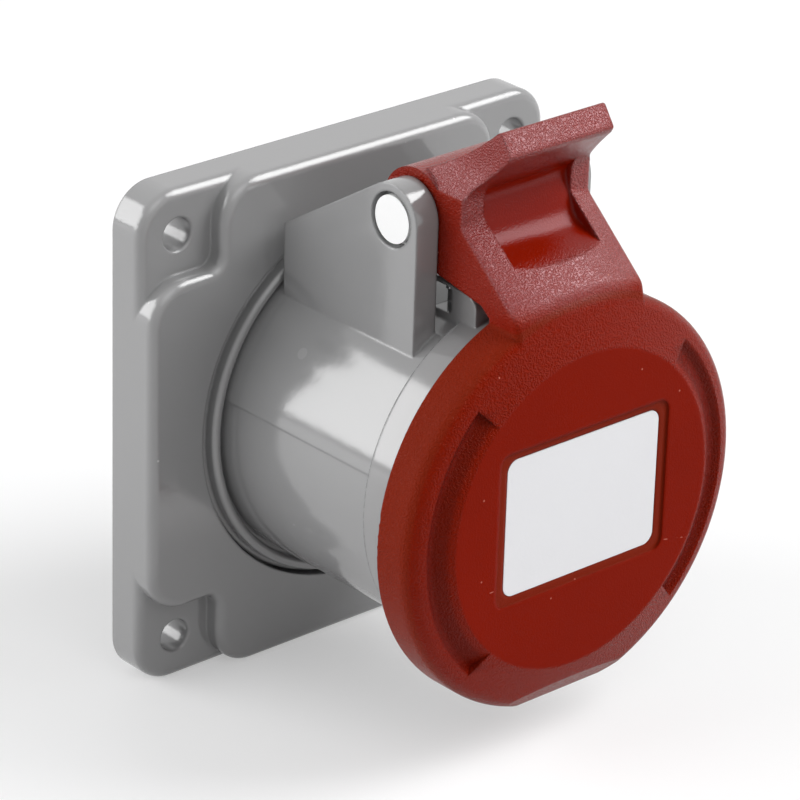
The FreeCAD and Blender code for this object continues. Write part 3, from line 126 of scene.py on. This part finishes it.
# Area lamps: place in metres, width and height in metres, power in watts
LAMPS = {
    "right": ((0.73, -0.52, 0.82), (0.75, 0.75), 12.5),
    "left": ((-0.85, 0.62, 0.4), (1.1, 0.8), 11.0),
    "front": ((-0.3, -1.0, 1.1), (1.0, 1.0), 3.5),
}
LAMP_AIM = Vector((0.0, -0.03, 0.0))


# Shader node groups

def new_group(name, inputs, outputs):
    group = bpy.data.node_groups.new(name, "ShaderNodeTree")
    for label, kind, value in inputs:
        socket = group.interface.new_socket(name=label, in_out="INPUT", socket_type=kind)
        socket.default_value = value
    for label, kind in outputs:
        group.interface.new_socket(name=label, in_out="OUTPUT", socket_type=kind)
    group.nodes.new("NodeGroupInput")
    group.nodes.new("NodeGroupOutput")
    return group


def add(tree, kind, links=None, **settings):
    """Adds a node, sets its properties and feeds its inputs from sockets or plain values."""
    node = tree.nodes.new("ShaderNode" + kind)
    for key, value in settings.items():
        setattr(node, key, value)
    for key, value in (links or {}).items():
        if isinstance(value, bpy.types.NodeSocket):
            tree.links.new(value, node.inputs[key])
        else:
            node.inputs[key].default_value = value
    return node


def ends(group):
    source = next(n for n in group.nodes if n.bl_idname == "NodeGroupInput")
    target = next(n for n in group.nodes if n.bl_idname == "NodeGroupOutput")
    return source.outputs, target.inputs


def grain_group():
    """Mould grain: small rounded bumps of uneven size, as a height from 0 to 1."""
    group = new_group("mould_grain", [("Scale", "NodeSocketFloat", 1800.0)],
                      [("Height", "NodeSocketFloat")])
    given, result = ends(group)
    place = add(group, "TexCoord")
    noise = add(group, "TexNoise", {"Vector": place.outputs["Object"], "Scale": given["Scale"],
                                    "Detail": 1.0, "Roughness": 0.55})
    bumps = add(group, "MapRange", {"Value": noise.outputs["Fac"], "From Min": 0.36,
                                    "From Max": 0.66}, interpolation_type="SMOOTHSTEP")
    group.links.new(bumps.outputs[0], result["Height"])
    return group


def mottle_group():
    """Slow variation of a colour, as in moulded plastic."""
    group = new_group("plastic_mottle",
                      [("Color", "NodeSocketColor", (0.5, 0.5, 0.5, 1)),
                       ("Amount", "NodeSocketFloat", 0.06)],
                      [("Color", "NodeSocketColor"), ("Roughness", "NodeSocketFloat")])
    given, result = ends(group)
    place = add(group, "TexCoord")
    slow = add(group, "TexNoise", {"Vector": place.outputs["Object"], "Scale": 55.0,
                                   "Detail": 3.0})
    shift = add(group, "Math", {0: slow.outputs["Fac"], 1: 0.5}, operation="SUBTRACT")
    share = add(group, "Math", {0: shift.outputs[0], 1: given["Amount"], 2: 1.0},
                operation="MULTIPLY_ADD")
    tinted = add(group, "VectorMath", {0: given["Color"]}, operation="SCALE")
    group.links.new(share.outputs[0], tinted.inputs["Scale"])
    group.links.new(tinted.outputs[0], result["Color"])
    rough = add(group, "MapRange", {"Value": slow.outputs["Fac"], "From Min": 0.3, "From Max": 0.7,
                                    "To Min": -0.5, "To Max": 0.5})
    group.links.new(rough.outputs[0], result["Roughness"])
    return group


def spot_group():
    """Mask of a small round spot, such as the mark of an ejector pin."""
    group = new_group("spot", [("Place", "NodeSocketVector", (0, 0, 0)),
                               ("Radius", "NodeSocketFloat", 0.001)], [("Mask", "NodeSocketFloat")])
    given, result = ends(group)
    place = add(group, "TexCoord")
    apart = add(group, "VectorMath", {0: place.outputs["Object"], 1: given["Place"]},
                operation="DISTANCE")
    share = add(group, "Math", {0: apart.outputs["Value"], 1: given["Radius"]}, operation="DIVIDE")
    mask = add(group, "MapRange", {"Value": share.outputs[0], "From Min": 1.05, "From Max": 0.9},
               interpolation_type="SMOOTHSTEP")
    group.links.new(mask.outputs[0], result["Mask"])
    return group


def dust_group():
    """Mask of a few tiny pale specks, far apart."""
    group = new_group("dust", [("Scale", "NodeSocketFloat", 240.0)], [("Mask", "NodeSocketFloat")])
    given, result = ends(group)
    place = add(group, "TexCoord")
    cells = add(group, "TexVoronoi", {"Vector": place.outputs["Object"], "Scale": given["Scale"]})
    near = add(group, "MapRange", {"Value": cells.outputs["Distance"], "From Min": 0.05,
                                   "From Max": 0.025})
    few = add(group, "SeparateXYZ", {"Vector": cells.outputs["Color"]})
    kept = add(group, "Math", {0: few.outputs["X"], 1: 0.55}, operation="GREATER_THAN")
    both = add(group, "Math", {0: near.outputs[0], 1: kept.outputs[0]}, operation="MULTIPLY")
    group.links.new(both.outputs[0], result["Mask"])
    return group


GRAIN = grain_group()
MOTTLE = mottle_group()
DUST = dust_group()
SPOT = spot_group()


def use(tree, group, **values):
    node = tree.nodes.new("ShaderNodeGroup")
    node.node_tree = group
    for key, value in values.items():
        if isinstance(value, bpy.types.NodeSocket):
            tree.links.new(value, node.inputs[key])
        else:
            node.inputs[key].default_value = value
    return node


def new_material(name, roughness, spread=0.0, colour=None, amount=0.06, **sockets):
    """A Principled material with mottled colour and roughness."""
    material = bpy.data.materials.new(name)
    material.use_nodes = True
    tree = material.node_tree
    shader = tree.nodes["Principled BSDF"]
    for key, value in sockets.items():
        shader.inputs[key.replace("_", " ")].default_value = value
    mottle = use(tree, MOTTLE, Color=colour, Amount=amount)
    tree.links.new(mottle.outputs["Color"], shader.inputs["Base Color"])
    rough = add(tree, "Math", {0: mottle.outputs["Roughness"], 1: spread, 2: roughness},
                operation="MULTIPLY_ADD")
    tree.links.new(rough.outputs[0], shader.inputs["Roughness"])
    return material, tree, shader


def bump(tree, shader, height, strength, distance, soft=0.0):
    """Bump on top of edges that are rounded by the given radius."""
    node = add(tree, "Bump", {"Height": height, "Strength": strength, "Distance": distance})
    if soft:
        edge = add(tree, "Bevel", {"Radius": soft}, samples=4)
        tree.links.new(edge.outputs["Normal"], node.inputs["Normal"])
    tree.links.new(node.outputs["Normal"], shader.inputs["Normal"])


def blend(tree, shader, colour, mask, amount):
    """Mixes a second colour over the base colour where the mask is 1."""
    mix = add(tree, "Mix", data_type="RGBA")
    tree.links.new(shader.inputs["Base Color"].links[0].from_socket, mix.inputs["A"])
    mix.inputs["B"].default_value = colour
    share = add(tree, "Math", {0: mask, 1: amount}, operation="MULTIPLY")
    tree.links.new(share.outputs[0], mix.inputs["Factor"])
    tree.links.new(mix.outputs["Result"], shader.inputs["Base Color"])


def grey_plastic():
    """Polished moulding that mirrors its surroundings softly."""
    material, tree, shader = new_material("grey_plastic", 0.12, 0.05, GREY, 0.06,
                                          Specular_IOR_Level=1.0)
    grain = use(tree, GRAIN, Scale=500.0)
    bump(tree, shader, grain.outputs["Height"], 0.1, 0.00004, 0.0006)
    spot = use(tree, SPOT, Place=EJECTOR_MARK, Radius=EJECTOR_RADIUS)
    blend(tree, shader, PALE, spot.outputs["Mask"], 0.12)
    dust = use(tree, DUST, Scale=200.0)
    blend(tree, shader, PALE, dust.outputs["Mask"], 0.6)
    return material


def lid_zones(tree):
    """Masks on the lid in its own coordinates, 0 to 1, by name.

    Face is the smooth round front, Skirt the side of the cap, paled there by a painted
    reflection, Scoop the finger hollow, Groove the arc grooves beside the face, darkened
    there with painted shade, Window the recess round the label, Mark the faint parting marks
    beside the lower corners of that window, and Arm the arm and tab but for their sides.
    Their nodes stand in the material itself, since they also feed its specular inputs.
    """
    place = add(tree, "TexCoord").outputs["Object"]
    split = add(tree, "SeparateXYZ", {"Vector": place})
    x, y, z = split.outputs["X"], split.outputs["Y"], split.outputs["Z"]
    side = add(tree, "Math", {0: x}, operation="ABSOLUTE").outputs[0]
    low = add(tree, "Math", {0: z, 1: LID_DROP}, operation="ADD").outputs[0]
    lowered = add(tree, "Math", {0: low}, operation="ABSOLUTE").outputs[0]
    flat = add(tree, "CombineXYZ", {"X": x, "Y": low})
    radius = add(tree, "VectorMath", {0: flat.outputs[0]}, operation="LENGTH").outputs["Value"]

    def ramp(value, pair):
        return add(tree, "MapRange", {"Value": value, "From Min": pair[0] * MM,
                                      "From Max": pair[1] * MM},
                   interpolation_type="SMOOTHSTEP").outputs[0]

    def product(*values):
        total = values[0]
        for value in values[1:]:
            total = add(tree, "Math", {0: total, 1: value}, operation="MULTIPLY").outputs[0]
        return total

    dots = add(tree, "TexNoise", {"Vector": place, "Scale": 1400.0, "Detail": 0.0})
    broken = add(tree, "MapRange", {"Value": dots.outputs["Fac"], "From Min": 0.5,
                                    "From Max": 0.6}).outputs[0]

    def scratch(start, end, height, fall):
        """A thin broken line across the face, its height falling with x."""
        offset = add(tree, "Math", {0: x, 1: fall, 2: z}, operation="MULTIPLY_ADD").outputs[0]
        return product(ramp(x, (start, start + 0.4)), ramp(x, (end, end - 0.6)),
                       ramp(offset, (height - 0.12, height - 0.04)),
                       ramp(offset, (height + 0.12, height + 0.04)),
                       ramp(y, MARK_DEPTH), broken)

    marks = add(tree, "Math", {0: scratch(*RIGHT_MARK), 1: scratch(*LEFT_MARK)},
                operation="MAXIMUM")
    return {
        "Face": product(ramp(radius, FACE_RADIUS), ramp(y, FACE_DEPTH)),
        "Skirt": product(ramp(radius, SKIRT_INSIDE), ramp(radius, SKIRT_OUTSIDE)),
        "Scoop": product(ramp(side, SCOOP_SIDE), ramp(z, SCOOP_FOOT), ramp(z, SCOOP_TOP),
                         ramp(y, SCOOP_FRONT), ramp(y, SCOOP_BACK)),
        "Groove": product(ramp(radius, GROOVE_INSIDE), ramp(radius, GROOVE_OUTSIDE),
                          ramp(lowered, GROOVE_HEIGHT), ramp(y, GROOVE_DEPTH)),
        "Window": product(ramp(side, WINDOW_SIDE), ramp(z, WINDOW_FOOT), ramp(z, WINDOW_TOP),
                          ramp(y, WINDOW_DEPTH)),
        "Mark": marks.outputs[0],
        "Arm": product(ramp(z, ARM_FOOT), ramp(side, ARM_SIDE)),
    }


def red_plastic():
    """Grained on the arm, the tab and the rim, smooth in the scoop and on the face."""
    material, tree, shader = new_material("red_plastic", 0.24, 0.05, RED, 0.16)
    zones = lid_zones(tree)
    grain = use(tree, GRAIN, Scale=3100.0)
    smooth = add(tree, "Math", {0: zones["Face"], 1: zones["Scoop"]}, operation="MAXIMUM")
    share = add(tree, "MapRange", {"Value": smooth.outputs[0], "To Min": 1.0, "To Max": 0.12})
    height = add(tree, "Math", {0: grain.outputs["Height"], 1: share.outputs[0]},
                 operation="MULTIPLY")
    bump(tree, shader, height.outputs[0], 1.0, 0.0001, 0.0008)
    shine = RIM_SHINE
    for zone, level in ZONE_SHINE:
        step = add(tree, "MapRange", {"Value": zones[zone], "To Min": shine, "To Max": level})
        shine = step.outputs[0]
    tree.links.new(shine, shader.inputs["Specular IOR Level"])
    tint = add(tree, "Mix", {"Factor": zones["Arm"]}, data_type="RGBA")
    tint.inputs["A"].default_value = WARM
    tint.inputs["B"].default_value = LILAC
    tree.links.new(tint.outputs["Result"], shader.inputs["Specular Tint"])
    rough = shader.inputs["Roughness"].links[0].from_socket
    polish = add(tree, "Math", {0: zones["Scoop"], 1: -0.1, 2: rough}, operation="MULTIPLY_ADD")
    tree.links.new(polish.outputs[0], shader.inputs["Roughness"])
    # Painted light on the lid: the browner red on the skirt is a painted reflection and the darker
    # red in the arc grooves is painted shade; the window recess gets a browner tint and the parting
    # marks a pale red.
    for zone, colour, amount in (("Skirt", BROWN, 0.6), ("Window", BROWN, 0.6),
                                 ("Groove", PAINTED_GROOVE_SHADE, 0.6), ("Mark", PALE_RED, 0.7)):
        blend(tree, shader, colour, zones[zone], amount)
    dust = use(tree, DUST, Scale=240.0)
    blend(tree, shader, PALE_RED, dust.outputs["Mask"], 0.8)
    return material


def plain_plastic(name, colour, roughness, scale=1600.0):
    material, tree, shader = new_material(name, roughness, 0.05, colour, 0.03)
    grain = use(tree, GRAIN, Scale=scale)
    bump(tree, shader, grain.outputs["Height"], 0.08, 0.00005)
    return material


def metal(name, colour, roughness):
    material, tree, shader = new_material(name, roughness, 0.08, colour, 0.08, Metallic=1.0)
    grain = use(tree, GRAIN, Scale=2400.0)
    bump(tree, shader, grain.outputs["Height"], 0.06, 0.00004)
    return material


MATERIALS = {
    "grey_plastic": grey_plastic(),
    "red_plastic": red_plastic(),
    "white_plastic": plain_plastic("white_plastic", WHITE, 0.45),
    "cap_white": plain_plastic("cap_white", CAP_WHITE, 0.4),
    "black_rubber": plain_plastic("black_rubber", BLACK, 0.7, 1500.0),
    "steel": metal("steel", STEEL, 0.3),
    "spring_steel": metal("spring_steel", WIRE, 0.35),
    "dark_insulator": plain_plastic("dark_insulator", INSULATOR, 0.5),
    "contact_brass": metal("contact_brass", BRASS, 0.3),
}

SLOT_OF = {s["node"]: s["material_slot"] for s in frame["record"]["subparts"]}


def dress(node_name, material):
    piece = frame["nodes"][node_name]
    piece.data.materials.clear()
    piece.data.materials.append(material)


for node_name, slot_name in SLOT_OF.items():
    dress(node_name, MATERIALS["cap_white" if node_name == "pin_caps" else slot_name])


def wound_spring(node_name):
    """Copy of the spring's mesh, baked into world place, with the imported spring hidden."""
    piece = bpy.data.objects.new(node_name + "_wound", frame["nodes"][node_name].data.copy())
    bpy.context.scene.collection.objects.link(piece)
    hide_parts(node_name)
    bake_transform(piece)


wound_spring("spring_right")
wound_spring("spring_left")


# Stage, light and camera

def background_rays(tree):
    """1 for the rays that show the background: seen, mirrored or through glass."""
    path = add(tree, "LightPath")
    seen = add(tree, "Math", {0: path.outputs["Is Camera Ray"], 1: path.outputs["Is Glossy Ray"]},
               operation="MAXIMUM")
    seen = add(tree, "Math", {0: seen.outputs[0], 1: path.outputs["Is Transmission Ray"]},
               operation="MAXIMUM")
    return seen.outputs[0]


def floor():
    """A plain pale floor under the flange, which also serves as the background."""
    size = FLOOR_SIZE
    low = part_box("mounting_flange")[0].z
    mesh = bpy.data.meshes.new("floor")
    mesh.from_pydata([(-size, -size, low), (size, -size, low), (size, size, low),
                      (-size, size, low)], [], [(0, 1, 2, 3)])
    piece = bpy.data.objects.new("floor", mesh)
    bpy.context.scene.collection.objects.link(piece)
    material = bpy.data.materials.new("floor")
    material.use_nodes = True
    tree = material.node_tree
    shader = tree.nodes["Principled BSDF"]
    shader.inputs["Base Color"].default_value = FLOOR_GREY
    shader.inputs["Roughness"].default_value = 0.7
    shader.inputs["Emission Color"].default_value = LIGHT_WHITE
    glow = add(tree, "Math", {0: background_rays(tree), 1: FLOOR_GLOW}, operation="MULTIPLY")
    tree.links.new(glow.outputs[0], shader.inputs["Emission Strength"])
    mesh.materials.append(material)


def lamp(name, place, size, power):
    light = bpy.data.lights.new(name, "AREA")
    light.shape = "RECTANGLE"
    light.size, light.size_y = size
    light.energy = power
    item = bpy.data.objects.new(name, light)
    item.location = place
    item.rotation_euler = (LAMP_AIM - Vector(place)).to_track_quat("-Z", "Y").to_euler()
    item.visible_camera = False
    bpy.context.scene.collection.objects.link(item)


def world():
    item = bpy.data.worlds.new("studio")
    item.use_nodes = True
    tree = item.node_tree
    back = tree.nodes["Background"]
    strength = add(tree, "MapRange", {"Value": background_rays(tree), "To Min": WORLD_STRENGTH,
                                      "To Max": 1.0})
    tree.links.new(strength.outputs[0], back.inputs["Strength"])
    back.inputs["Color"].default_value = LIGHT_WHITE
    bpy.context.scene.world = item


def camera():
    a, e, r = math.radians(AZIMUTH), math.radians(ELEVATION), math.radians(ROLL)
    back = Vector((-math.sin(a) * math.cos(e), -math.cos(a) * math.cos(e), math.sin(e)))
    level = Vector((math.cos(a), -math.sin(a), 0))
    above = back.cross(level)
    right = math.cos(r) * level + math.sin(r) * above
    up = -math.sin(r) * level + math.cos(r) * above
    data = bpy.data.cameras.new("camera")
    data.sensor_width = SENSOR
    data.lens = FOCAL_PIXELS / IMAGE_PIXELS * SENSOR
    data.clip_start, data.clip_end = 0.05, 20
    item = bpy.data.objects.new("camera", data)
    place = (TARGET + back * DISTANCE) * MM
    turn = Matrix((right, up, back)).transposed().to_4x4()
    item.matrix_world = Matrix.Translation(place) @ turn
    bpy.context.scene.collection.objects.link(item)
    bpy.context.scene.camera = item


floor()
world()
for lamp_name, lamp_values in LAMPS.items():
    lamp(lamp_name, *lamp_values)
camera()
bpy.context.scene.view_settings.view_transform = "Standard"
